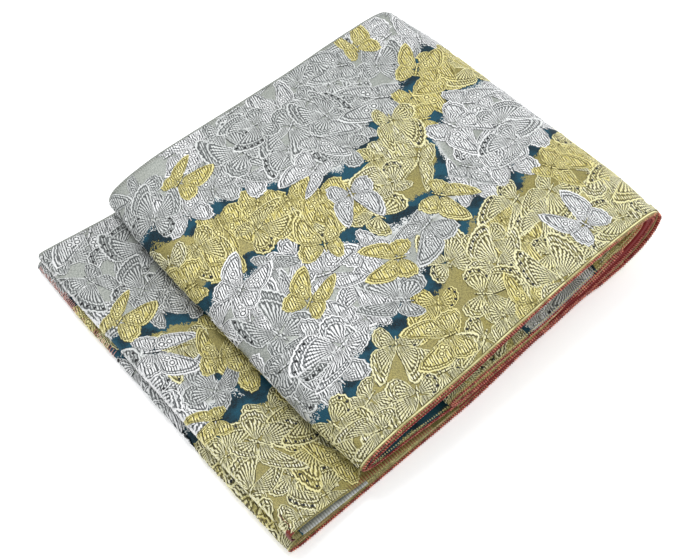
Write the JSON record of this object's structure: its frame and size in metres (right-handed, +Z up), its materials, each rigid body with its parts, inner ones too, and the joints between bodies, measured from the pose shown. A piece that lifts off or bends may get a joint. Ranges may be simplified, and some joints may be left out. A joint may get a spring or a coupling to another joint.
{
  "type": "folded obi sash",
  "caption": "Fukuro obi sash of metallic butterfly brocade, folded flat back and forth along its length, its front selvedge overcast in red.",
  "frame": {"origin": "on the surface the sash lies on, under the middle of its bounding box", "axes": "+X along the obi's length as folded, towards the tall fold; +Y across its width, towards the back selvedge; +Z up"},
  "size_m": [0.3871, 0.3102, 0.0539],
  "materials": {
    "brocade_mixed": "metallic-thread brocade, gold and silver butterflies on grey, olive and teal ground, satin sheen",
    "brocade_gold": "metallic-thread brocade, mostly gold on an olive ground, satin sheen",
    "brocade_silver": "metallic-thread brocade, mostly silver on a grey ground, satin sheen",
    "brocade_inner": "edges of the packed hidden layers, dull olive and navy cloth with stitched selvedges",
    "selvedge_thread": "red overcasting thread along the front selvedge, slightly glossy"
  },
  "bodies": {
    "root": {"top_stretch": "brocade_mixed", "inner_stretch": "brocade_silver", "tucked_stretch": "brocade_gold", "lowest_stretch": "brocade_gold", "lower_stretch": "brocade_silver", "right_layers": "brocade_inner", "tucked_layers": "brocade_inner", "left_layers": "brocade_inner", "lower_layers": "brocade_inner"}
  },
  "joints": []
}
